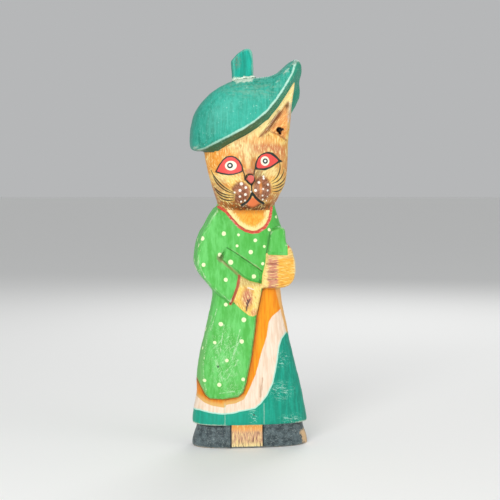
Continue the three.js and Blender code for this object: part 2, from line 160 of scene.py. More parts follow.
# Brushed dots of the shirt, as (x, z, radius)
SHIRT_DOTS = [
    (-51.2, 210.3, 2.1), (-29.7, 214.9, 2.1), (-15, 213.7, 1.4), (1.6, 208.1, 1.9), (-16.6, 202.8, 1.5),
    (-3, 196.6, 2.1), (10.8, 202, 1.4), (16, 218.7, 1.6), (-33.8, 194.1, 2), (-22.7, 186.3, 2.6),
    (-50.3, 184.3, 1.9), (9.2, 184.9, 1.6), (0.7, 171.9, 2.1), (-28.2, 169.4, 1.9),
    (-27.6, 144.1, 1.8), (-10.1, 129.1, 2.3), (-32.6, 124.6, 2.1), (-38.6, 106.2, 1.7),
    (-12.2, 107.6, 2.1), (-50.1, 90, 1.8), (-27.2, 88.7, 1.8), (-48.7, 67.9, 1.6),
    (-34.7, 64.3, 2.1), (-11.1, 69.8, 1.9), (24.8, 231.2, 1.5),
]
MUZZLE_DOTS = [
    (-12.6, 264.3, 1.6), (-8.5, 260.6, 1.4), (-14.4, 257.8, 1.4), (-8.9, 253.7, 1.4),
    (-19.3, 255.8, 0.9), (-14.3, 251.7, 1.1), (-12.6, 246.7, 0.9), (-8.8, 247.8, 0.9),
    (10, 269.6, 1.1), (9.8, 271.6, 1.1), (4.8, 265.6, 1.3), (14.2, 263.6, 1.2), (8.7, 259.2, 1),
    (13.7, 257.8, 1.1), (1.2, 257.8, 1.4), (-3.1, 256.5, 1), (8.5, 252.7, 0.9), (14, 251.7, 0.6),
    (9.2, 248.7, 1), (13.5, 247.4, 0.6),
]
WHISKERS = [
    [(-38.4, 272.7), (-32.6, 264.8), (-20.4, 255.9)], [(-37.1, 268.1), (-31.4, 260.7), (-20, 254.7)],
    [(-35.9, 259), (-31.2, 255.2), (-20.3, 253.2)], [(-34.8, 256.1), (-30, 252.2), (-20.6, 250.9)],
    [(-32.1, 250.9), (-27.6, 248.4), (-20.4, 248.1)], [(27.1, 285.6), (26.6, 275.6), (18.9, 266.9)],
    [(32.1, 277.4), (28.2, 269.8), (19.8, 264.8)], [(35.2, 272.4), (29.3, 265.3), (20.3, 261.9)],
    [(34.6, 266.1), (28, 261.5), (20.4, 259.8)], [(32.1, 260.7), (27.5, 257.6), (20, 256.9)],
]
SCRATCHES = [
    [(-26.2, 71.3), (-16.2, 89.2)], [(-33.7, 98), (-29.6, 123.9)], [(-22.1, 89.3), (-14, 119)],
    [(-38, 92), (-31, 66)], [(-34, 56), (-20, 58)], [(-42, 118), (-36, 139)], [(-24, 100), (-16, 106)],
    [(-40, 100), (-33, 108)], [(-30, 76), (-22, 84)], [(-20, 96), (-13, 112)],
]


# Measuring on the board

def on_board(points):
    """Points of the scene, in metres, as drawing millimetres."""
    return np.asarray(points, float) / MM - SHIFT


def line_distance(flat, line, closed=False):
    """How far each (x, z) is from a drawn line."""
    ends = line + line[:1] if closed else line
    best = np.full(len(flat), 1e9)
    for start, stop in zip(ends[:-1], ends[1:]):
        a = np.array(start, float)
        along = np.array(stop, float) - a
        share = np.clip((flat - a) @ along / (along @ along), 0, 1)
        best = np.minimum(best, np.hypot(*(flat - a - share[:, None] * along).T))
    return best


def inside(flat, outline):
    """Whether each (x, z) lies within a closed outline."""
    x, z = flat.T
    odd = np.zeros(len(flat), bool)
    for (x0, z0), (x1, z1) in zip(outline, outline[1:] + outline[:1]):
        if z0 != z1:
            odd ^= ((z0 > z) != (z1 > z)) & (x < (x1 - x0) * (z - z0) / (z1 - z0) + x0)
    return odd


def depth_in(flat, outline):
    """Distance to an outline in mm, above zero within it."""
    away = line_distance(flat, outline, closed=True)
    return np.where(inside(flat, outline), away, -away)


def above_line(flat, line):
    """Distance to a line drawn from right to left or left to right, above zero over it."""
    ordered = sorted(line)
    lid = ordered + [(ordered[-1][0] + 1, 999), (ordered[0][0] - 1, 999)]
    away = line_distance(flat, line)
    return np.where(inside(flat, lid), away, -away)


def left_of(flat, line):
    """Distance to a line drawn from top to bottom, above zero on its left."""
    lid = line + [(-999, line[-1][1]), (-999, line[0][1])]
    away = line_distance(flat, line)
    return np.where(inside(flat, lid), away, -away)


def ease(value, low, high):
    """Smooth step from 0 at low to 1 at high."""
    t = np.clip((value - low) / (high - low), 0, 1)
    return t * t * (3 - 2 * t)


# Mesh work

def placed(name, data):
    """A new object in the scene."""
    item = bpy.data.objects.new(name, data)
    bpy.context.scene.collection.objects.link(item)
    return item


class Skin:
    """A triangle skin held as arrays: co in metres and tri as corner numbers."""

    def __init__(self, mesh):
        mesh.calc_loop_triangles()
        self.co = np.empty(len(mesh.vertices) * 3, np.float32)
        mesh.vertices.foreach_get("co", self.co)
        self.co = self.co.reshape(-1, 3).astype(float)
        self.tri = np.empty(len(mesh.loop_triangles) * 3, np.int32)
        mesh.loop_triangles.foreach_get("vertices", self.tri)
        self.tri = self.tri.reshape(-1, 3)
        edges = np.concatenate([self.tri[:, [0, 1]], self.tri[:, [1, 2]], self.tri[:, [2, 0]]])
        edges.sort(axis=1)
        order = np.lexsort((edges[:, 1], edges[:, 0]))
        edges = edges[order]
        owner = np.tile(np.arange(len(self.tri)), 3)[order]
        same = (edges[1:] == edges[:-1]).all(1)
        self.pairs = np.stack([owner[:-1][same], owner[1:][same]])
        self.edges = edges[:-1][same]
        self.degree = self.spread(np.ones(len(self.edges)))[:, None]

    def spread(self, values):
        """Sums a value of each edge at both its ends."""
        count = len(self.co)
        return np.bincount(self.edges[:, 0], values, count) + np.bincount(self.edges[:, 1], values, count)

    def average(self, field):
        """The mean of a field over each corner's neighbours."""
        a, b = self.edges.T
        count = len(self.co)
        flat = field.reshape(count, -1)
        total = np.stack([
            np.bincount(a, column[b], count) + np.bincount(b, column[a], count) for column in flat.T
        ], 1)
        return (total / self.degree).reshape(field.shape)

    def relax(self, rounds, amount=0.5, weight=None):
        """Plain smoothing, stronger where the weight says so."""
        pull = amount if weight is None else amount * weight[:, None]
        for _ in range(rounds):
            self.co += (self.average(self.co) - self.co) * pull

    def face_normals(self):
        a, b, c = (self.co[self.tri[:, k]] for k in range(3))
        cross = np.cross(b - a, c - a)
        size = np.linalg.norm(cross, axis=1, keepdims=True) + 1e-18
        return cross / size, size

    def normals(self):
        unit, size = self.face_normals()
        total = np.stack([
            sum(np.bincount(self.tri[:, k], (unit * size)[:, axis], len(self.co)) for k in range(3))
            for axis in range(3)
        ], 1)
        return total / (np.linalg.norm(total, axis=1, keepdims=True) + 1e-18)

    def fair(self, turns, moves, spread):
        """Rounds the flats of the rough solid and keeps the carved edges."""
        unit, size = self.face_normals()
        a, b = self.pairs
        count = len(self.tri)
        for _ in range(turns):
            gap = ((unit[a] - unit[b]) ** 2).sum(1)
            weight = np.exp(-gap / (2 * spread * spread))
            wa, wb = weight * size[b, 0], weight * size[a, 0]
            total = unit * size + np.stack([
                np.bincount(a, wa * unit[b, k], count) + np.bincount(b, wb * unit[a, k], count)
                for k in range(3)
            ], 1)
            unit = total / (np.linalg.norm(total, axis=1, keepdims=True) + 1e-18)
        around = np.bincount(self.tri.ravel(), minlength=len(self.co))[:, None]
        for _ in range(moves):
            middle = self.co[self.tri].mean(1)
            step = np.zeros_like(self.co)
            for k in range(3):
                lift = ((middle - self.co[self.tri[:, k]]) * unit).sum(1)
                for axis in range(3):
                    step[:, axis] += np.bincount(self.tri[:, k], lift * unit[:, axis], len(self.co))
            self.co += step / around

    def sharpness(self, rounds):
        """How much each corner stands out, whatever the size of the faces around it."""
        a, b = self.co[self.edges[:, 0]], self.co[self.edges[:, 1]]
        spacing = self.spread(np.linalg.norm(a - b, axis=1)) / self.degree[:, 0] / MM
        return self.bulge(rounds) / spacing ** 1.3

    def bulge(self, rounds):
        """How far each corner stands out of its smoothed surroundings, in mm."""
        soft = self.co.copy()
        for _ in range(rounds):
            soft += (self.average(soft) - soft) * 0.6
        return ((self.co - soft) * self.normals()).sum(1) / MM


def voxel_skin(source, step):
    """A closed even mesh over a solid."""
    holder = placed("holder", source.data.copy())
    modifier = holder.modifiers.new("skin", "REMESH")
    modifier.mode = "VOXEL"
    modifier.voxel_size = step
    graph = bpy.context.evaluated_depsgraph_get()
    mesh = bpy.data.meshes.new_from_object(holder.evaluated_get(graph))
    bpy.data.objects.remove(holder)
    return mesh


def refine(mesh, wanted):
    """Cuts faces in four where wanted(drawing points) says so."""
    bm = bmesh.new()
    bm.from_mesh(mesh)
    centres = on_board([face.calc_center_median()[:] for face in bm.faces])
    chosen = wanted(centres)
    edges = {edge for face, take in zip(bm.faces, chosen) if take for edge in face.edges}
    bmesh.ops.subdivide_edges(bm, edges=list(edges), cuts=1, use_grid_fill=True)
    bmesh.ops.triangulate(bm, faces=bm.faces)
    bm.to_mesh(mesh)
    bm.free()


def snap(skin, source, reach):
    """Brings the skin back onto the solid that it was made from."""
    verts = [v.co.copy() for v in source.data.vertices]
    tree = BVHTree.FromPolygons(verts, [tuple(p.vertices) for p in source.data.polygons])
    for i, point in enumerate(skin.co):
        found = tree.find_nearest(Vector(point), reach)[0]
        if found is not None:
            skin.co[i] = found


def finished(name, skin, low, high, fields):
    """A smooth shaded object from a skin, kept in its box, with its paint fields."""
    co = np.clip(skin.co, np.array(low), np.array(high))
    x, y, z = on_board(co).T
    fields = {**fields, "x": x, "y": y, "z": z, "flat": np.stack([x, x * 0, z], 1)}
    mesh = bpy.data.meshes.new(name)
    mesh.vertices.add(len(co))
    mesh.vertices.foreach_set("co", co.astype(np.float32).ravel())
    mesh.loops.add(len(skin.tri) * 3)
    mesh.loops.foreach_set("vertex_index", skin.tri.ravel())
    mesh.polygons.add(len(skin.tri))
    mesh.polygons.foreach_set("loop_start", np.arange(0, len(skin.tri) * 3, 3, dtype=np.int32))
    mesh.update(calc_edges=True)
    mesh.polygons.foreach_set("use_smooth", np.ones(len(skin.tri), bool))
    for key, values in fields.items():
        values = np.asarray(values, np.float32)
        kind, entry = ("FLOAT", "value") if values.ndim == 1 else ("FLOAT_VECTOR", "vector")
        mesh.attributes.new(key, kind, "POINT").data.foreach_set(entry, values.ravel())
    mesh.validate()
    return placed(name, mesh)


def waves(points, length, seed):
    """A soft wandering field between about -1 and 1, the same on every run."""
    rng = np.random.default_rng(seed)
    total = np.zeros(len(points))
    count = 9
    for _ in range(count):
        way = rng.normal(size=3)
        way *= 2 * math.pi / (length * rng.uniform(0.7, 1.5) * np.linalg.norm(way))
        total += np.sin(points @ way + rng.uniform(0, 2 * math.pi))
    return total / math.sqrt(count)


# The carved figure

def detailed(points):
    """Where the carving is fine enough to need small faces."""
    flat = points[:, [0, 2]]
    x, y, z = points.T
    front = y < -8
    face = (z > 238) & (z < 302) & (x > -50) & (x < 42) & (y < -4)
    ear = (z >= 300) & (z < 358) & (x > 2) & front & (above_line(unsheared(points), BRIM) < 4)
    edges = np.minimum.reduce([
        line_distance(flat, line, closed) for line, closed in [
            (LEFT_SLEEVE, True), (RIGHT_SLEEVE, True), (LEFT_PAW, True), (RIGHT_PAW, True),
            (CREASE, False), (TAIL_EDGE, False), (NECKLINE, False),
        ]
    ])
    paws = np.maximum(depth_in(flat, LEFT_PAW), depth_in(flat, RIGHT_PAW)) > 0
    rim = (np.abs(above_line(unsheared(points), BRIM)) < 3) & (y < -6) & (z > 290)
    return face | ear | (front & ((edges < 3) | paws)) | rim


def unsheared(points):
    """The (x, z) where a point's line along the cap's slanting underside meets its front."""
    x, y, z = points.T
    back = y + HAT_FRONT
    return np.stack([x - UNDERSIDE_RUN * back, z + UNDERSIDE_FALL * back], 1)


def carve(skin, amount):
    """Moves each corner along its normal by so many mm."""
    skin.co += skin.normals() * (np.asarray(amount) * MM)[:, None]


def valley(flat, line, width, depth):
    """A rounded groove along a drawn line."""
    return -depth * ease(width - line_distance(flat, line), 0, width)


def laid_out(skin):
    """The skin's corners on the board: as rows, as (x, z) and as x, y and z."""
    points = on_board(skin.co)
    return points, points[:, [0, 2]], *points.T


def in_front(points, outline, grown, limit):
    """Depth in a grown outline, for points in front of a depth in the board."""
    return np.where(points[:, 1] < limit, depth_in(points[:, [0, 2]], outline) + grown, NOWHERE)


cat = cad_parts["cat_figure"]
cat_mesh = voxel_skin(cat, SKIN_STEP)
refine(cat_mesh, detailed)
skin = Skin(cat_mesh)
snap(skin, cat, 0.003)
skin.relax(1, 0.5)
skin.fair(30, 12, 0.33)
points, flat, x, y, z = laid_out(skin)
skin.relax(60, 0.6, ease(7 - line_distance(flat, SHOULDER), 0, 6) * ease(-y, 5, 12))
skin.relax(40, 0.6, ease(6 - np.hypot(x + 36, z - 190), 0, 4) * ease(-y, 2, 8))

# The cap's back part stands out to the right behind the ear
points, flat, x, y, z = laid_out(skin)
in_cap = ease(above_line(unsheared(points), BRIM), -2, 0.5) * ease(y, -4, 4)
behind_ear = in_cap * ease(x, 26, 36) * ease(z, 318, 332) * ease(-z, -370, -350)
moved_right = 4.2 * behind_ear
skin.co[:, 0] += moved_right * MM
skin.relax(3, 0.5, ease(behind_ear, 0, 0.2))

# Grooves, hem ridges, ear, the chip at the base and the unevenness of knife work
points, flat, x, y, z = laid_out(skin)
front = ease(-y, 6, 12)
face_front = ease(-y, 10, 16)
cuts = np.minimum.reduce([
    valley(flat, line, width, depth) for lines, width, depth in GROOVES for line in lines
])
tail = valley(flat, TAIL_EDGE[3:], 1.3, 0.5)
carve(skin, (cuts + tail) * front)
ridges = sum(ease(1.3 - line_distance(flat, ridge), 0, 1.3) for ridge in HEM_RIDGES)
carve(skin, 0.45 * ridges * front)
hollow = ease(depth_in(flat, EAR_HOLLOW), -0.6, 3)
pit = np.minimum(np.hypot((x - 27.6) * 0.7, z - 318.6), np.hypot(x - 28.2, (z - 315.4) * 0.6))
carve(skin, -(0.9 * hollow + 2.6 * ease(2.1 - pit, 0, 1.4)) * face_front)
points, flat, x, y, z = laid_out(skin)
chip = ease(x + 0.12 * z, 50.5, 53) * ease(14 - z, 0, 2)
carve(skin, -(0.7 + 0.5 * waves(points, 5, 9)) * chip * front)
carve(skin, 0.16 * waves(points, 26, 3) + 0.09 * waves(points, 11, 4))
skin.relax(1, 0.35)

# What the paint needs to know at each corner: distances to the drawn lines, in mm
points, flat, x, y, z = laid_out(skin)
across, into, up = skin.normals().T
brim_place = unsheared(points) - np.stack([moved_right, moved_right * 0], 1)
cap = above_line(brim_place, BRIM) + moved_right * 0.4
cap = np.where(z > 281, cap, NOWHERE)
cap = np.where((x < -38) & (y < 0), np.minimum(cap, z - 296.4), cap)
cap = np.where((x >= -38) & (x < -32) & (y < 0), np.minimum(cap, z - 297.4), cap)
brim = above_line(flat, BRIM)
below_brim = ease(-brim, -0.1, 0.6) * ease(-into, -0.6, -0.2)
downward = np.where(np.abs(cap) < 2, np.clip(-(up - 0.35 * across), 0, 1), 0)
paw = np.maximum(in_front(points, LEFT_PAW, 0.7, -18), in_front(points, RIGHT_PAW, 0.7, 10))
sleeves = np.maximum(
    in_front(points, LEFT_SLEEVE, 0.9, 13), in_front(points, RIGHT_SLEEVE, 0.9, 15),
)
shirt = np.maximum(np.minimum(depth_in(flat, SHIRT) + 0.4, -paw), sleeves)
shirt = np.minimum(shirt, -depth_in(flat, CHIN) - 0.4)
fields = {
    "cap": cap,
    "under": np.maximum(downward, below_brim),
    "rim": line_distance(brim_place, BRIM),
    "brim": np.abs(brim),
    "shirt": np.where(z > 252, NOWHERE, shirt),
    "paw": np.minimum(paw, -sleeves),
    "neckline": np.where(z < 247, line_distance(flat, NECKLINE), -NOWHERE),
    "orange": above_line(flat, ORANGE_EDGE),
    "cream": above_line(flat, CREAM_EDGE),
    "bevel": left_of(flat, TAIL_BEVEL),
    "hem": z - 23.4,
    "eye": np.maximum(depth_in(flat, LEFT_LENS), depth_in(flat, RIGHT_LENS)),
    "lid": np.maximum(depth_in(flat, LEFT_LID), depth_in(flat, RIGHT_LID)),
    "nose": depth_in(flat, NOSE),
    "mouth": np.minimum(line_distance(flat, MOUTH_LEFT), line_distance(flat, MOUTH_RIGHT)),
    "cuff": line_distance(flat, CUFF),
    "seam": np.minimum.reduce([line_distance(flat, line) for line in (CREASE[:2], ELBOW, TAIL_EDGE)]),
    "hollow": depth_in(flat, EAR_HOLLOW),
    "side": across ** 2 / (across ** 2 + into ** 2 + 1e-9),
    "side_flat": np.stack([y, y * 0, z], 1),
    "edge": skin.sharpness(5),
}
figure = finished("carved_cat", skin, *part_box("cat_figure"), fields)
print("carved_cat", len(skin.tri), "triangles")


# Paint

def colour(red, green, blue):
    """An sRGB colour of 0 to 255 as linear values."""
    parts = [value / 255 for value in (red, green, blue)]
    return tuple(p / 12.92 if p <= 0.04045 else ((p + 0.055) / 1.055) ** 2.4 for p in parts) + (1.0,)


class Value:
    """A socket that can be reckoned with."""

    def __init__(self, desk, socket):
        self.desk, self.socket = desk, socket

    def __add__(self, other):
        return self.desk.math("ADD", self, other)

    def __sub__(self, other):
        return self.desk.math("SUBTRACT", self, other)

    def __rsub__(self, other):
        return self.desk.math("SUBTRACT", other, self)

    def __mul__(self, other):
        return self.desk.math("MULTIPLY", self, other)

    def __abs__(self):
        return self.desk.math("ABSOLUTE", self)

    __radd__ = __add__
    __rmul__ = __mul__


class Desk:
    """Builds the nodes of one material."""

    def __init__(self, name):
        self.material = bpy.data.materials.new(name)
        self.material.use_nodes = True
        self.tree = self.material.node_tree
        self.shader = self.tree.nodes["Principled BSDF"]
        self.where = self.tree.nodes.new("ShaderNodeTexCoord").outputs["Object"]
        self.x, self.y, self.z = (self.field(name) for name in ("x", "y", "z"))
        self.flat = self.field("flat", "Vector")

    def put(self, port, value):
        if isinstance(value, Value):
            value = value.socket
        if isinstance(value, bpy.types.NodeSocket):
            self.tree.links.new(value, port)
        else:
            port.default_value = value

    def node(self, kind, *values, **settings):
        """The first output of a new node, after its settings and its inputs in their order."""
        node = self.tree.nodes.new("ShaderNode" + kind)
        for name, setting in settings.items():
            setattr(node, name, setting)
        for port, value in zip([p for p in node.inputs if p.enabled], values):
            self.put(port, value)
        return Value(self, next(o for o in node.outputs if o.enabled))

    def math(self, kind, *values):
        return self.node("Math", *values, operation=kind)

    def vector(self, kind, *values):
        return self.node("VectorMath", *values, operation=kind)

    def field(self, name, kind="Fac"):
        node = self.tree.nodes.new("ShaderNodeAttribute")
        node.attribute_name = name
        return Value(self, node.outputs[kind])

    def noise(self, scale, detail=2.0, rough=0.5, seed=0.0, lean=0.0):
        """Noise about 0.5 of so many waves to the mm, leaning by an angle in degrees."""
        waves_per_mm = scale if isinstance(scale, tuple) else (scale,) * 3
        place = self.node(
            "Mapping", self.where, (seed, seed * 0.7, seed * 1.3), (0, math.radians(lean), 0),
            tuple(MM / part for part in waves_per_mm), vector_type="TEXTURE",
        )
        return self.node("TexNoise", place, 1.0, detail, rough)

    def step(self, value, low, high, to_low=0.0, to_high=1.0):
        """A smooth step of the value from low to high."""
        ends = (low, high, to_low, to_high)
        return self.node("MapRange", value, *ends, interpolation_type="SMOOTHSTEP", clamp=False)

    def mix(self, share, first, second, blend="MIX", kind="RGBA"):
        """The first colour or place, and the second where the share is 1."""
        ends = (colour(*end) if isinstance(end, tuple) else end for end in (first, second))
        return self.node("Mix", share, *ends, data_type=kind, blend_type=blend)

    def fold(self, kind, values):
        """One value out of many, two at a time."""
        return reduce(lambda best, value: self.math(kind, best, value), values)

    def patch(self, x, z, wide, high, soft=0.5):
        """1 in an ellipse on the board, falling to 0 at its edge."""
        moved = self.vector("SUBTRACT", self.flat, (x, 0, z))
        scaled = self.vector("MULTIPLY", moved, (1 / wide, 0, 1 / high))
        return self.step(self.vector("LENGTH", scaled), 1 - soft, 1 + soft, 1.0, 0.0)

    def dots(self, place, dots):
        """Distance in mm to the nearest dot's edge, below zero within it."""
        gaps = (self.vector("DISTANCE", place, (x, 0, z)) - radius for x, z, radius in dots)
        return self.fold("MINIMUM", gaps)

    def stretch(self, start, stop):
        """Distance in mm to one straight stretch."""
        along = np.array([stop[0] - start[0], 0, stop[1] - start[1]], float)
        near = self.vector("SUBTRACT", self.flat, (start[0], 0, start[1]))
        share = self.node("Clamp", self.vector("DOT_PRODUCT", near, tuple(along / (along @ along))))
        return self.vector("DISTANCE", near, self.vector("SCALE", tuple(along), share))

    def line(self, points):
        """Distance in mm to a drawn line."""
        return self.fold("MINIMUM", (self.stretch(*ends) for ends in zip(points[:-1], points[1:])))

    def lines(self, drawn):
        """Distance in mm to the nearest of several drawn lines."""
        return self.fold("MINIMUM", (self.line(points) for points in drawn))

    def arc(self, start, middle, end):
        """Distance in mm to a curved stroke through three points that thins towards its ends."""
        (ax, az), (bx, bz), (cx, cz) = start, middle, end
        turn = 2 * (ax * (bz - cz) + bx * (cz - az) + cx * (az - bz))
        a, b, c = ax * ax + az * az, bx * bx + bz * bz, cx * cx + cz * cz
        centre_x = (a * (bz - cz) + b * (cz - az) + c * (az - bz)) / turn
        centre_z = (a * (cx - bx) + b * (ax - cx) + c * (bx - ax)) / turn
        radius = math.hypot(bx - centre_x, bz - centre_z)
        reach = max(math.dist(start, middle), math.dist(end, middle))
        across = self.vector("DISTANCE", self.flat, (centre_x, 0, centre_z)) - radius
        along = self.vector("DISTANCE", self.flat, (bx, 0, bz))
        thin = abs(across) + self.step(along, 0.3 * reach, reach, 0.0, 0.35)
        return self.math("MAXIMUM", thin, along - reach)

    def finish(self, base, rough, height, depth):
        """Sets the shader's colour, roughness and fine relief."""
        self.put(self.shader.inputs["Base Color"], base)
        self.put(self.shader.inputs["Roughness"], rough)
        self.shader.inputs["Specular IOR Level"].default_value = 0.3
        bump = self.tree.nodes.new("ShaderNodeBump")
        bump.inputs["Distance"].default_value = depth * MM
        bump.inputs["Strength"].default_value = 1.0
        self.put(bump.inputs["Height"], height)
        self.put(self.shader.inputs["Normal"], bump.outputs[0])
        return self.material


WOOD = (222, 186, 140)
CHALK = (236, 232, 214)
MINT = (200, 244, 226)
DARK = (38, 52, 44)
GRIME_AND_SHADE = (70, 52, 34)


# Patches of fur colour and painted shade on the head, as (x, z, half width, half height, softness, amount,
# colour)
# The brown patches at (-11.5, 286) and (-0.8, 282) are painted shade on the sides of the nose bridge and
# the olive-grey one at (5.6, 274.2) is painted shading of its right side plane; those at (-34, 257), (-25,
# 246), (23, 248) and (-1, 240.8) are painted shade along the jaw and under the chin
FUR_AND_SHADE_PATCHES = [
    (-6, 303, 24, 12, 0.6, 0.85, (250, 230, 166)), (-27, 294, 11, 6, 0.6, 0.85, (238, 146, 40)),
    (-39, 286, 9, 15, 0.6, 0.75, (238, 152, 50)), (-11.5, 286, 4.5, 10, 0.6, 0.75, (204, 124, 66)),
    (-0.8, 282, 4.2, 10, 0.6, 0.75, (182, 104, 62)), (-6.3, 290, 2.6, 9, 0.6, 0.6, (250, 228, 170)),
    (14, 299.5, 17, 5.5, 0.6, 0.8, (198, 106, 68)), (27.5, 295, 7, 7, 0.6, 0.55, (206, 122, 92)),
    (-27, 270.6, 13, 5.5, 0.5, 0.9, (240, 214, 144)), (-20, 267.5, 6, 4.5, 0.6, 0.6, (246, 204, 92)),
    (15, 277, 11, 5.5, 0.5, 0.9, (238, 214, 144)), (5.6, 274.2, 5.5, 4.5, 0.6, 0.8, (156, 142, 100)),
    (31, 281, 7, 12, 0.6, 0.6, (212, 138, 82)), (-34, 257, 8, 10, 0.6, 0.8, (164, 102, 74)),
    (-25, 246, 13, 6, 0.6, 0.8, (136, 80, 42)), (24, 258, 8, 8, 0.6, 0.55, (220, 152, 78)),
    (23, 248, 11, 6.5, 0.6, 0.75, (164, 100, 58)), (-1, 240.8, 24, 5, 0.5, 1, (92, 46, 20)),
    (-5, 276.2, 4.2, 3, 0.6, 0.7, (196, 116, 100)), (5, 308, 20, 4, 0.6, 0.5, (232, 144, 52)),
]


def paint_fur(d, back):
    """Fur of the head: short strokes over patches of cream, gold, orange and brown, some of them painted
    shade beside the nose bridge, along the jaw and under the chin.
    """
    plain = fur = d.mix(d.step(d.noise(0.07, 3, 0.6, 5), 0.36, 0.66), (228, 158, 66), (243, 200, 106))
    for *ellipse, amount, tint in FUR_AND_SHADE_PATCHES:
        fur = d.mix(d.patch(*ellipse) * amount, fur, tint)
    fur = d.mix(back, fur, plain)
    down = d.step(d.z, 288, 276)
    across = d.noise((0.8, 0.3, 0.2), 3, 0.65, 2, -42)
    across = across + (d.noise((0.8, 0.3, 0.2), 3, 0.65, 4, 30) - across) * d.step(d.x, -12, 4)
    upright = d.noise((0.8, 0.3, 0.14), 3, 0.65)
    strokes = upright + (across - upright) * down + d.wander * 0.2
    fur = d.mix(d.step(strokes, 0.51, 0.64) * 0.8, fur, (253, 230, 158))
    fur = d.mix(d.step(strokes, 0.49, 0.36) * 0.5, fur, (220, 124, 40))
    return d.mix(d.step(strokes, 0.39, 0.28) * 0.35, fur, (118, 60, 34)), strokes


def paint_ear(d, fur, back):
    """The ear: cream rim under the brim, brown painted shade along the fold and the hollow's edges, orange
    hollow with a hole painted near-black as its shade, and a worn edge.
    """
    bare = fur
    streaks = d.noise((0.9, 0.3, 0.14), 3, 0.6, 1.5, 39)
    rim = d.step(d.field("rim"), 14, 9.5) * d.step(d.z + d.wander * 4, 310, 322)
    fur = d.mix(rim * 0.95, fur, (254, 232, 160))
    fur = d.mix(rim * d.step(streaks, 0.48, 0.38) * 0.5, fur, (244, 186, 92))
    hollow = d.field("hollow")
    fur = d.mix(d.step(hollow + d.wander * 4, -0.8, 2.4) * 0.8, fur, (226, 136, 66))
    fur = d.mix(d.step(streaks, 0.5, 0.62) * d.step(hollow, 0, 2) * 0.8, fur, (248, 206, 128))
    # Painted shade: dark brown along the ear's fold and along the hollow's inner and lower edges
    fold = d.line([(8.5, 312.4), (15.1, 319.3), (27.1, 335.6)])
    fur = d.mix(d.step(fold + (streaks - 0.5) * 8, 3.6, 0.2) * 0.85, fur, (130, 68, 38))
    shade_line = d.line([(20.5, 321.5), (30.6, 336.9)])
    fur = d.mix(d.step(shade_line + (streaks - 0.5) * 7, 2.2, 0.2) * 0.5, fur, (150, 84, 48))
    under = d.line([(16.5, 317), (24.6, 314), (34.8, 308.3)])
    fur = d.mix(d.step(under + (streaks - 0.5) * 5, 1.6, 0.2) * 0.6, fur, (142, 84, 50))
    worn = d.step(d.x + d.wander * 5, 34, 37) * d.step(d.z, 298, 310) * d.step(d.y, -14, -19)
    worn = worn * d.step(d.z + d.wander * 6, 346, 341)
    fur = d.mix(worn * 0.7, fur, (188, 170, 158))
    # The hole is painted near-black as its shade
    holes = d.dots(d.flat, [(27.7, 318.4, 2.2), (28.2, 314.8, 1.3), (30.4, 318.6, 1.2)])
    fur = d.mix(d.patch(35.2, 343.6, 1.8, 3, 0.6) * 0.7, fur, (120, 82, 56))
    fur = d.mix(d.step(holes + d.wander * 2.6, 0.5, -0.3), fur, (26, 20, 18))
    return d.mix(back, fur, bare)


def paint_muzzle(d, fur, strokes, front):
    """Brown and pink pads, the inside of the mouth and the orange of the nose bridge."""
    pads = d.math("MAXIMUM", d.patch(-13.2, 255.6, 9.2, 10.6, 0.22),
                  d.patch(8.2, 259.4, 9.4, 12.6, 0.22))
    mud = d.mix(d.step(strokes + d.wander * 0.3, 0.38, 0.62), (116, 66, 50), (172, 110, 86))
    mud = d.mix(d.patch(6.4, 261, 1.4, 6.5, 0.5) * 0.8, mud, (222, 134, 66))
    fur = d.mix(pads * front * 0.92, fur, mud)
    return d.mix(d.patch(-1, 246.4, 6.4, 4.6, 0.35) * front, fur, (226, 118, 66))


def paint_neck(d, neckline):
    """Orange under the chin with brown strokes, darkest just below the chin where they also paint its
    shadow, cream in a fringe along the neckline.
    """
    hair = d.noise((0.8, 0.3, 0.3), 3, 0.6, 6)
    neck = d.mix(d.step(hair, 0.36, 0.62), (238, 150, 34), (250, 184, 70))
    # Brown strokes just below the chin, which also paint the chin's shadow
    neck = d.mix(d.step(d.z + (hair - 0.5) * 10, 233, 237) * 0.55, neck, (168, 88, 26))
    fringe = d.step(neckline + (hair - 0.5) * 10, 7.2, 3.6)
    return d.mix(fringe, neck, (250, 230, 156))


def paint_right_paw(d):
    """Cream, pink pads with three finger gaps, then yellow and a pale worn rim."""
    hair = d.noise((0.16, 0.3, 1), 3, 0.6, 9)
    ragged = (hair - 0.5) * 13
    paw = d.mix(d.step(d.x + ragged, 22.4, 25), (208, 140, 114), (240, 180, 70))
    paw = d.mix(d.step(d.x + ragged, 14.8, 13), paw, (249, 222, 140))
    paw = d.mix(d.step(d.z + d.wander * 3, 189, 191.6) * 0.7, paw, (232, 206, 130))
    paw = d.mix(d.step(hair, 0.52, 0.64) * 0.7, paw, (252, 228, 150))
    paw = d.mix(d.step(hair, 0.46, 0.36) * 0.55, paw, (204, 118, 50))
    gaps = d.lines(RIGHT_FINGERS)
    paw = d.mix(d.step(gaps + (hair - 0.5) * 4, 1.5, 0.1) * 0.55, paw, (144, 80, 62))
    paw = d.mix(d.step(d.x + ragged * 0.3 + d.z * 0.05, 48.4, 50.4) * 0.8, paw, (240, 220, 164))
    red = d.dots(d.flat, [(32.6, 201.2, 1.9), (35, 202, 1.2)])
    return d.mix(d.step(red + d.wander, 0.6, -0.4), paw, (214, 82, 58))


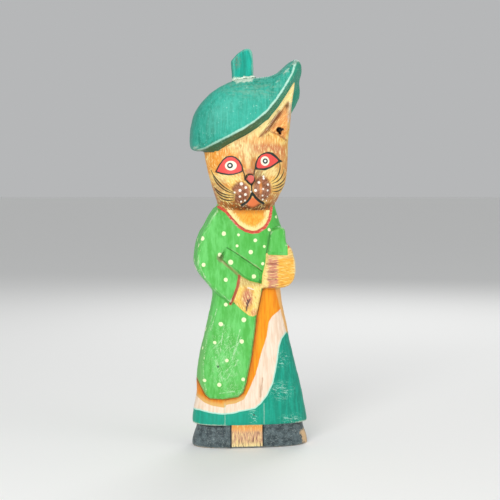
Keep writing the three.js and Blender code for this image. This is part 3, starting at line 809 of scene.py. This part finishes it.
def paint_left_paw(d):
    """Yellow, a pink and brown middle with dark brushed marks, khaki towards the cuff."""
    hair = d.noise((0.9, 0.3, 0.22), 3, 0.6, 5, -18)
    ragged = (hair - 0.5) * 8
    paw = d.mix(d.patch(-6.5, 151, 5.5, 9.5, 0.5), (243, 202, 98), (204, 130, 98))
    paw = d.mix(d.step(d.x + ragged, -1.6, 1.2), paw, (248, 220, 128))
    paw = d.mix(d.step(d.z + ragged * 0.5, 160, 165) * 0.85, paw, (208, 184, 118))
    paw = d.mix(d.patch(0.5, 136, 3.5, 4, 0.5) * 0.7, paw, (228, 150, 108))
    paw = d.mix(d.step(hair, 0.52, 0.62) * 0.75, paw, (252, 232, 160))
    paw = d.mix(d.step(hair, 0.45, 0.35) * 0.5, paw, (186, 106, 54))
    brushed = [[(-6.6, 148.4), (-7.5, 138.2)], [(-4.2, 149.5), (-6.8, 143)]]
    marks = d.lines(brushed)
    paw = d.mix(d.step(marks + (hair - 0.5) * 4, 1, 0.2) * 0.85, paw, (58, 54, 60))
    stroke = d.line([(-6, 161.1), (-0.4, 159.4)])
    return d.mix(d.step(stroke + d.wander, 1, 0.3) * 0.85, paw, CHALK)


def paint_skirt(d, brush, grain):
    """Orange next to the shirt with painted shadow along the shirt's edge, a cream band with wood grain, a
    pale line and teal below.
    """
    teal = d.mix(d.step(brush, 0.36, 0.64), (6, 138, 114), (12, 162, 136))
    teal = d.mix(d.step(d.noise(0.3, 4, 0.7, 7), 0.5, 0.66) * 0.3, teal, (48, 178, 150))
    teal = d.mix(d.patch(-22, 30, 44, 16, 0.5) * 0.4, teal, (34, 176, 148))
    teal = d.mix(d.step(d.fine + d.wander * 0.3, 0.6, 0.8) * 0.3, teal, (60, 176, 150))
    scuffs = d.step(d.noise((0.14, 0.3, 1.3), 4, 0.65, 3, 14), 0.57, 0.63)
    loops = abs(d.noise(0.2, 2, 0.5, 15) - 0.5)
    scuffs = d.math("MAXIMUM", scuffs, d.step(loops, 0.016, 0.006) * d.step(d.fine, 0.42, 0.56))
    rubs = [(27, 57, 13, 8), (-1, 32, 4, 8), (27, 88, 9, 7), (38, 28, 10, 5), (20, 100, 4, 12)]
    rubbed = d.fold("MAXIMUM", (d.patch(*rub, 0.6) for rub in rubs))
    teal = d.mix(scuffs * rubbed * 0.65, teal, MINT)
    cream = d.mix(d.step(brush, 0.35, 0.62), (238, 208, 180), (250, 230, 208))
    cream = d.mix(d.step(grain, 0.6, 0.74) * 0.5, cream, (214, 158, 116))
    orange = d.mix(d.step(brush, 0.34, 0.66), (238, 134, 2), (250, 166, 24))
    # Painted shadow: the orange darkens towards the shirt's edge, with a dark brown line right at it
    orange = d.mix(d.step(d.field("seam"), 7, 0.6) * 0.5, orange, (176, 84, 18))
    orange = d.mix(d.step(d.field("seam") + d.wander * 1.5, 1.9, 0.8) * 0.75, orange, (96, 52, 20))
    orange_at = d.field("orange") + d.wander * 1.1
    cream_at = d.field("cream") + d.wander * 0.9
    skirt = d.mix(d.step(cream_at, -0.3, 0.3), teal, cream)
    skirt = d.mix(d.step(abs(cream_at + 0.5), 0.9, 0.4) * 0.85, skirt, MINT)
    skirt = d.mix(d.step(orange_at, -0.35, 0.35), skirt, orange)
    low_band = d.step(orange_at, 6, 1) * d.step(d.z, 56, 50) * d.step(orange_at, -0.3, 0.3)
    skirt = d.mix(low_band * 0.8, skirt, (226, 186, 114))
    ridges = d.math("MINIMUM", abs(d.x + 29.1), abs(d.x - 10.2))
    ridges = ridges + d.step(d.z, 44, 50) * 3 + d.step(d.y, -9, -5) * 3
    skirt = d.mix(d.step(ridges + (d.fine - 0.5) * 1.4, 0.9, 0.2) * 0.4, skirt, (176, 214, 190))
    streak = d.line([(8.5, 70), (6.2, 52)])
    skirt = d.mix(d.step(streak + (grain - 0.5) * 10, 1.6, 0) * 0.5, skirt, (170, 112, 70))
    strip = d.step(d.x + d.z * 0.27 + d.wander * 1.2, 65.4, 66.6) * d.step(d.z, 112, 116)
    return d.mix(strip, skirt, (243, 186, 110))


def paint_shirt(d, back):
    """Green with brushed dots, on the sides too, painted light on the left side face, the worn arris of the
    forearm and a line of painted shade inside the right sleeve.
    """
    green = d.mix(d.step(d.noise((0.22, 0.22, 0.06), 4, 0.6), 0.34, 0.66),
                  (82, 182, 74), (110, 208, 108))
    bevel = d.field("bevel") + d.wander * 3
    green = d.mix(d.patch(8, 205, 30, 45, 0.5) * 0.4, green, (66, 172, 56))
    # Painted light: left of the bevel line the shirt's side face is lighter and greyer
    green = d.mix(d.step(bevel, -0.6, 2) * 0.55, green, (124, 184, 108))
    pale = d.step(abs(bevel), 1, 0.3) * d.step(d.fine, 0.45, 0.6) * (1 - back)
    green = d.mix(pale * 0.6, green, (190, 226, 174))
    arris = d.line([(-33.5, 189.6), (-23.5, 180.8), (-12.8, 171.9)])
    arris = d.step(arris + (d.fine - 0.5) * 3 + d.wander, 1.9, 0.7) * d.step(d.y, -12, -15)
    green = d.mix(arris * 0.7, green, (170, 146, 100))
    smear = d.patch(-34, 191, 4.5, 4.5, 0.6) * d.step(d.y, -6, -10)
    green = d.mix(d.step(smear + d.wander * 3, 0.45, 0.8) * smear * 0.8, green, (128, 134, 92))
    # Painted shade: a dark green line inside the right sleeve's edge
    shade_line = d.line([(17.1, 217.7), (12.8, 194.6)])
    green = d.mix(d.step(shade_line, 1.6, 0.2) * (1 - back) * 0.6, green, (44, 104, 42))
    behind = d.vector("MULTIPLY_ADD", d.flat, (1, 0, 1), (-4, 0, 7))
    beside = d.vector("MULTIPLY_ADD", d.field("side_flat", "Vector"), (1, 0, 1), (-30, 0, 7))
    side = d.field("side")
    on_face = d.step(side, 0.8, 0.82)
    place = d.mix(on_face, d.mix(back, d.flat, behind, kind="VECTOR"), beside, kind="VECTOR")
    dot = d.dots(place, SHIRT_DOTS) + d.wander * 0.9 + (d.fine - 0.5) * 0.5
    dotted = d.step(dot, 0.25, -0.25) * d.step(abs(side - 0.81), 0.01, 0.05)
    return d.mix(dotted, green, (238, 250, 196)), dotted


def paint_features(d, base, front):
    """Eyes, nose, mouth, whiskers, the white dots of the muzzle and lines of painted shade down the nose
    bridge's sides.
    """
    hair = d.fold("MINIMUM", (d.arc(*whisker) for whisker in WHISKERS))
    between = d.step(hair, 2.2, 1.2) * d.step(hair, 0.4, 0.7)
    base = d.mix(between * front * 0.4, base, (248, 216, 120))
    base = d.mix(d.step(hair + (d.fine - 0.5) * 0.4, 0.86, 0.4) * front * 0.92, base, (44, 34, 28))
    lid = d.step(d.field("lid") + d.wander * 0.25, -0.5, -0.05) * front
    base = d.mix(lid, base, DARK)
    lens = d.step(d.field("eye"), -0.15, 0.3) * front
    base = d.mix(lens, base, d.mix(d.fine, (222, 66, 62), (242, 96, 88)))
    whites = d.math("MAXIMUM", d.patch(-22.5, 282.3, 5.7, 4.7, 0.05),
                    d.patch(11.6, 286.9, 4.5, 4.7, 0.06)) * front
    base = d.mix(whites, base, (250, 246, 222))
    rings = d.dots(d.flat, [(-23.3, 282.4, 2.85), (11.9, 286.9, 2.7)])
    base = d.mix(d.step(rings, 0.25, -0.25) * front, base, (22, 42, 38))
    glint = d.dots(d.flat, [(-23.4, 282.5, 1.3), (11.9, 287, 1.2)])
    base = d.mix(d.step(glint, 0.25, -0.25) * front, base, (246, 250, 244))
    nose = d.field("nose")
    base = d.mix(d.step(nose, -1.8, -1.1) * front, base, DARK)
    base = d.mix(d.step(nose + d.wander * 0.5, -0.2, 0.4) * front, base,
                 d.mix(d.fine, (206, 84, 78), (228, 120, 106)))
    # Painted shade: dark lines down both sides of the nose bridge
    sides = d.lines(NOSE_BRIDGE_SHADES)
    base = d.mix(d.step(sides + d.wander * 0.4, 0.95, 0.45) * front * 0.9, base, (62, 52, 42))
    mouth = d.math("MINIMUM", d.field("mouth") - 0.5, d.line(PHILTRUM))
    base = d.mix(d.step(mouth + d.wander * 0.5, 0.95, 0.45) * front, base, (40, 50, 44))
    freckle = d.dots(d.flat, MUZZLE_DOTS) + d.wander * 0.6
    return d.mix(d.step(freckle, 0.2, -0.2) * front, base, (252, 244, 230))


def paint_feet(d):
    """Dusty dark shoes and the furry foot between them."""
    shoe = d.mix(d.step(d.noise(0.16, 4, 0.7), 0.35, 0.68), (54, 66, 70), (100, 115, 118))
    shoe = d.mix(d.step(d.noise(1.1, 3, 0.75), 0.57, 0.66) * 0.7, shoe, (168, 180, 176))
    shoe = d.mix(d.step(d.noise(1, 2, 0.7, 4), 0.42, 0.32) * 0.6, shoe, (26, 32, 36))
    shoe = d.mix(d.step(d.noise(0.55, 3, 0.75, 9), 0.61, 0.68) * 0.55, shoe, (172, 184, 180))
    hair = d.noise((1.2, 0.4, 0.12), 3, 0.65, 2)
    foot = d.mix(d.step(d.z + (hair - 0.5) * 14, 14, 20), (216, 168, 132), (240, 164, 86))
    foot = d.mix(d.step(d.z + (hair - 0.5) * 16, 7, 2.5), foot, (244, 222, 160))
    foot = d.mix(d.step(hair, 0.51, 0.6) * 0.75, foot, (247, 222, 150))
    foot = d.mix(d.step(hair, 0.47, 0.38) * d.step(d.z, 19, 14) * 0.85, foot, (112, 66, 56))
    middle = abs(d.x + 6.8)
    in_foot = d.step(middle + (hair - 0.5) * 2, 15.9, 15.3) * d.step(d.y, -10, -14)
    in_foot = in_foot * d.step(d.z + (hair - 0.5) * 3, 1.2, 2.2)
    feet = d.mix(in_foot, shoe, foot)
    border = d.step(abs(middle - 16.2), 1.1, 0.5) * d.step(d.y, -10, -14)
    return d.mix(border * 0.85, feet, (28, 28, 30))


def paint_cap(d, brush, grain, back):
    """Teal with upright streaks, a painted highlight across the middle and painted shade towards the left
    edge, a pale rim of wear and painted highlight, and painted shade on the underside.
    """
    cap = d.mix(d.step(brush + d.wander * 0.5, 0.3, 0.62), (32, 136, 114), (50, 172, 150))
    cap = d.mix(d.step(d.noise(0.32, 4, 0.7, 5), 0.5, 0.68) * 0.35 * (1 - back), cap, (104, 206, 184))
    glow = d.patch(-14, 335, 34, 26, 0.7) * (1 - back)
    cap = d.mix(glow * 0.45, cap, (64, 186, 162))
    # Painted shade: the cap darker towards its left edge
    cap = d.mix(d.patch(-54, 322, 16, 24, 0.7) * 0.4, cap, (28, 126, 106))
    cap = d.mix(d.step(grain, 0.58, 0.74) * 0.4, cap, (116, 204, 184))
    dusty = d.patch(-2, 358, 26, 9, 0.6) * d.step(d.noise((0.12, 0.3, 0.5), 4, 0.65), 0.42, 0.62)
    cap = d.mix(dusty * 0.55, cap, (124, 176, 152))
    flecks = d.step(d.noise(0.5, 2, 0.5, 8), 0.68, 0.74) * (1 - back)
    cap = d.mix(flecks * 0.5, cap, (176, 230, 212))
    beside_stem = d.step(abs(d.x + 9) + d.wander * 12, 7.5, 13)
    low = d.x * 0.1 - d.wander * 14 - (d.fine - 0.5) * 8 + beside_stem * 5
    plaster = d.step(d.z - low, 365, 368.2) * (1 - beside_stem)
    cap = d.mix(plaster * (1 - back) * 0.9, cap, (222, 238, 216))
    tip = d.patch(46, 383, 5, 5, 0.6)
    cap = d.mix(tip * 0.6, cap, (120, 140, 134))
    shade = d.mix(d.step(d.x, -10, 38), (58, 100, 68), (46, 150, 122))
    shade = d.mix(d.step(d.fine + d.wander, 0.62, 0.8) * 0.5, shade, (150, 190, 164))
    cap = d.mix(d.step(d.field("under"), 0.35, 0.6), cap, shade)
    # The pale rim along the brim's front edge: wear and painted highlight
    brim = d.field("brim") + d.wander * 2 + (d.fine - 0.5) * 1.2
    rim = d.step(brim, 1.5, 0.3) * d.step(d.z, 386, 382)
    rim = rim * d.step(d.y, 0, -6) * d.step(d.x, -30, -5, 0.6, 0.9)
    return d.mix(rim, cap, (196, 240, 220))


def paint_wear(d, base, back, is_shirt, is_cap, is_base):
    """Pale arrises of wear and painted highlight, grime and painted shade in the cuts, scratches, nicks and
    bare wood.
    """
    edge = d.field("edge")
    # Pale arrises: wear, and painted highlight on the convex edges
    worn = d.step(edge + (d.fine - 0.5) * 0.24 + d.wander * 0.14, 0.14, 0.34)
    worn = worn * (1 - d.patch(-4.5, 267, 7, 9, 0.3)) * (1 - d.patch(28, 317, 6, 7, 0.3))
    worn = worn * (1 - d.step(d.field("seam"), 4, 2) * 0.7)
    worn = worn * (1 - d.patch(23, 219, 10, 5, 0.4) * 0.6)
    base = d.mix(worn * 0.5, base, d.mix(is_base, CHALK, (150, 152, 144)))
    bare = d.step(edge + (d.fine - 0.5) * 0.4 + d.wander * 0.34, 0.4, 0.56)
    base = d.mix(bare * d.step(edge, 0.12, 0.25) * (0.7 - is_cap * 0.5), base, WOOD)
    # Grime and painted shade: cuts and hollows darkened
    hollow_grime_and_shade = d.step(d.math("MULTIPLY", edge, -1) + (d.fine - 0.5) * 0.12, 0.08, 0.4)
    hollow_grime_and_shade = hollow_grime_and_shade * (1 - d.patch(-35, 190, 6, 6, 0.5) * 0.75)
    base = d.mix(hollow_grime_and_shade * 0.6, base, GRIME_AND_SHADE, "MULTIPLY")
    scratch = d.lines(SCRATCHES)
    rubbed = d.step(scratch + (d.fine - 0.5) * 3 + d.wander * 2, 0.5, 0.1) * 0.5
    one_way = d.step(d.noise((1.6, 0.5, 0.14), 3, 0.6, 6, -24), 0.59, 0.64)
    other_way = d.step(d.noise((1.6, 0.5, 0.2), 3, 0.6, 8, 38), 0.59, 0.64)
    where = d.math("MAXIMUM", d.patch(-29, 90, 15, 30, 0.4), d.patch(-20, 60, 14, 6, 0.5))
    curl = abs(d.noise(0.17, 2, 0.5, 12) - 0.5)
    curl = d.step(curl, 0.012, 0.004) * d.step(d.fine, 0.4, 0.55)
    marks = d.math("MAXIMUM", rubbed, d.math("MAXIMUM", one_way, curl) * where * 0.5)
    marks = d.math("MAXIMUM", marks, other_way * where * 0.45)
    base = d.mix(marks * (1 - back) * is_shirt, base, (206, 236, 196))
    nick = d.dots(d.flat, [(-35.8, 82.4, 1.1), (0, 33.6, 0.9)]) + d.wander * 2
    base = d.mix(d.step(nick, 0.4, -0.4) * (1 - back) * 0.8, base, (36, 66, 42))
    ragged = d.wander * 9 + (d.fine - 0.5) * 7
    corner = d.step(d.x + d.z * 0.25 + ragged, 52, 53) * d.step(d.z + ragged, 15, 13)
    return d.mix(corner * is_base * d.step(d.y, -4, -10), base, WOOD), worn


def paint_cat():
    d = Desk("painted_cat")
    d.wander = d.noise(0.14, 3, 0.55) - 0.5
    d.fine = d.noise(0.7, 3, 0.6)
    back = d.step(d.y, 1, 3)
    front = d.step(d.y, -6, -10)
    base, strokes = paint_fur(d, back)
    base = paint_ear(d, base, back)
    base = paint_muzzle(d, base, strokes, front)
    neckline = d.field("neckline")
    base = d.mix(d.step(d.z, 238.4, 237.6), base, paint_neck(d, neckline))
    paw_at = d.field("paw")
    left, right = paint_left_paw(d), paint_right_paw(d)
    base = d.mix(d.step(paw_at, -0.1, 0.35), base, d.mix(d.step(d.x + d.z * 0.22, 44.6, 45.4), left, right))
    brush = d.noise((0.45, 0.45, 0.035), 4, 0.6, 7)
    grain = d.noise((0.9, 0.9, 0.05), 3, 0.6, 3)
    shirt_at = d.field("shirt")
    lower = d.step(shirt_at, 0.1, -0.2) * d.step(d.z, 206, 200) * d.step(paw_at, 0.1, -0.2)
    base = d.mix(lower, base, paint_skirt(d, brush, grain))
    green, dotted = paint_shirt(d, back)
    is_shirt = d.step(shirt_at + d.wander * 0.3, -0.15, 0.25)
    base = d.mix(is_shirt, base, green)
    red = d.step(neckline + d.wander * 0.7, 1.7, 1.2) * d.step(d.z, 214, 215)
    band = d.mix(d.step(d.fine, 0.4, 0.6), (206, 74, 58), (224, 102, 82))
    base = d.mix(red * d.step(shirt_at, -1.8, -1.2), base, band)
    cuffed = d.step(d.field("cuff") + d.wander * 0.9, 1.9, 1.1) * d.step(d.y, -14, -17)
    base = d.mix(cuffed, base, d.mix(d.fine, (150, 62, 36), (212, 116, 78)))
    base = paint_features(d, base, front)
    is_base = d.step(d.field("hem") + d.wander * 0.5, 0.1, -0.3)
    base = d.mix(is_base, base, paint_feet(d))
    is_cap = d.step(d.field("cap") + d.wander * 0.3, -0.8, -0.3)
    base = d.mix(is_cap, base, paint_cap(d, brush, grain, back))
    base, worn = paint_wear(d, base, back, is_shirt, is_cap, is_base)
    rough = d.step(worn + d.wander, 0, 1, 0.5, 0.7)
    height = brush * 0.35 + d.fine * 0.25 + strokes * 0.25 + dotted * 0.5
    return d.finish(base, rough, height, 0.35)


def paint_stem():
    d = Desk("teal_stem")
    brush = d.noise((0.5, 0.5, 0.05), 4, 0.6, 7)
    fine = d.noise(0.8, 3, 0.6)
    base = d.mix(d.step(brush, 0.34, 0.66), (4, 146, 126), (16, 180, 158))
    scuff = d.patch(-14.2, 386, 3.4, 6, 0.6) * d.step(fine, 0.4, 0.6)
    base = d.mix(scuff * 0.7, base, (120, 128, 112))
    # Pale arrises: wear, and painted highlight on the convex edges
    worn = d.step(d.field("edge") + (fine - 0.5) * 0.15, 0.07, 0.2) * d.step(d.x, -12, 0, 0.25, 1)
    base = d.mix(worn * 0.6, base, (150, 208, 188))
    foot = d.step(d.z + (fine - 0.5) * 5, 371.5, 369.5)
    base = d.mix(foot * 0.9, base, (226, 240, 220))
    return d.finish(base, d.step(fine, 0.2, 0.8, 0.45, 0.6), brush * 0.5 + fine * 0.3, 0.3)


def paint_filler():
    d = Desk("white_filler")
    fine = d.noise(0.9, 4, 0.65)
    base = d.mix(d.step(fine, 0.3, 0.7), (206, 226, 204), (240, 250, 236))
    # Painted shade: the filler darker in its hollows
    base = d.mix(d.step(d.field("edge"), -0.04, -0.16) * 0.6, base, (150, 160, 132))
    return d.finish(base, 0.85, fine, 0.5)


def dress(piece, node, material):
    piece.data.materials.append(material)
    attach(piece, "root")
    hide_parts(node)


dress(figure, "cat_figure", paint_cat())

# The stem and the filler around its foot
stem_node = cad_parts["hat_stem"]
stem = Skin(voxel_skin(stem_node, STEM_STEP))
snap(stem, stem_node, 0.002)
stem.relax(2, 0.5)
stem.fair(12, 8, 0.35)
stem_points = on_board(stem.co)
carve(stem, 0.12 * waves(stem_points, 13, 8) - 0.12)
stem.relax(1, 0.4)
stem_piece = finished("painted_stem", stem, *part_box("hat_stem"), {"edge": stem.bulge(6)})
dress(stem_piece, "hat_stem", paint_stem())

filler_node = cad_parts["repair_filler"]
filler = Skin(voxel_skin(filler_node, FILLER_STEP))
filler.relax(3, 0.5)
filler_points = on_board(filler.co)
carve(filler, 0.4 * waves(filler_points, 3.2, 11) + 0.1 * waves(filler_points, 1.4, 12))
filler_piece = finished("lumpy_filler", filler, *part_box("repair_filler"), {"edge": filler.bulge(6)})
dress(filler_piece, "repair_filler", paint_filler())


# Studio

def sheet_of_floor():
    """A wide, round, flat floor of pale paper."""
    bm = bmesh.new()
    bmesh.ops.create_circle(bm, cap_ends=True, segments=96, radius=30.0)
    mesh = bpy.data.meshes.new("floor")
    bm.to_mesh(mesh)
    bm.free()
    floor = placed("floor", mesh)
    material = bpy.data.materials.new("floor_paper")
    material.use_nodes = True
    shader = material.node_tree.nodes["Principled BSDF"]
    shader.inputs["Base Color"].default_value = (0.93, 0.93, 0.915, 1)
    shader.inputs["Roughness"].default_value = 0.9
    mesh.materials.append(material)


def lamp(name, where, size, power, aim=(0, 0, 0.2)):
    data = bpy.data.lights.new(name, "AREA")
    data.shape = "DISK"
    data.size = size
    data.energy = power
    item = placed(name, data)
    item.location = where
    item.rotation_euler = (Vector(aim) - Vector(where)).to_track_quat("-Z", "Y").to_euler()


sheet_of_floor()
lamp("key", (-0.7, -1.5, 0.85), 0.9, 18)
lamp("fill", (1.3, -1.0, 0.6), 1.2, 4.5)
lamp("back", (0.5, 1.3, 1.2), 0.9, 8)
world = bpy.data.worlds.new("studio")
world.use_nodes = True
sky, strength = world.node_tree.nodes["Background"].inputs[:2]
sky.default_value = (0.78, 0.79, 0.80, 1)
strength.default_value = 0.6
bpy.context.scene.world = world
bpy.context.scene.view_settings.view_transform = "Standard"

# Camera: a little to the cat's right, a little above, as in the photograph
AZIMUTH, ELEVATION, DISTANCE = math.radians(-8.0), math.radians(3.0), 1.22
aim = Vector((SHIFT[0] * MM, SHIFT[1] * MM, 0.1972))
away = Vector((
    math.sin(AZIMUTH) * math.cos(ELEVATION), -math.cos(AZIMUTH) * math.cos(ELEVATION),
    math.sin(ELEVATION),
))
lens = bpy.data.cameras.new("camera")
lens.sensor_width = 36
lens.lens = 86.4
lens.clip_start = 0.05
camera = placed("camera", lens)
camera.location = aim + away * DISTANCE
camera.rotation_euler = (-away).to_track_quat("-Z", "Y").to_euler()
bpy.context.scene.camera = camera
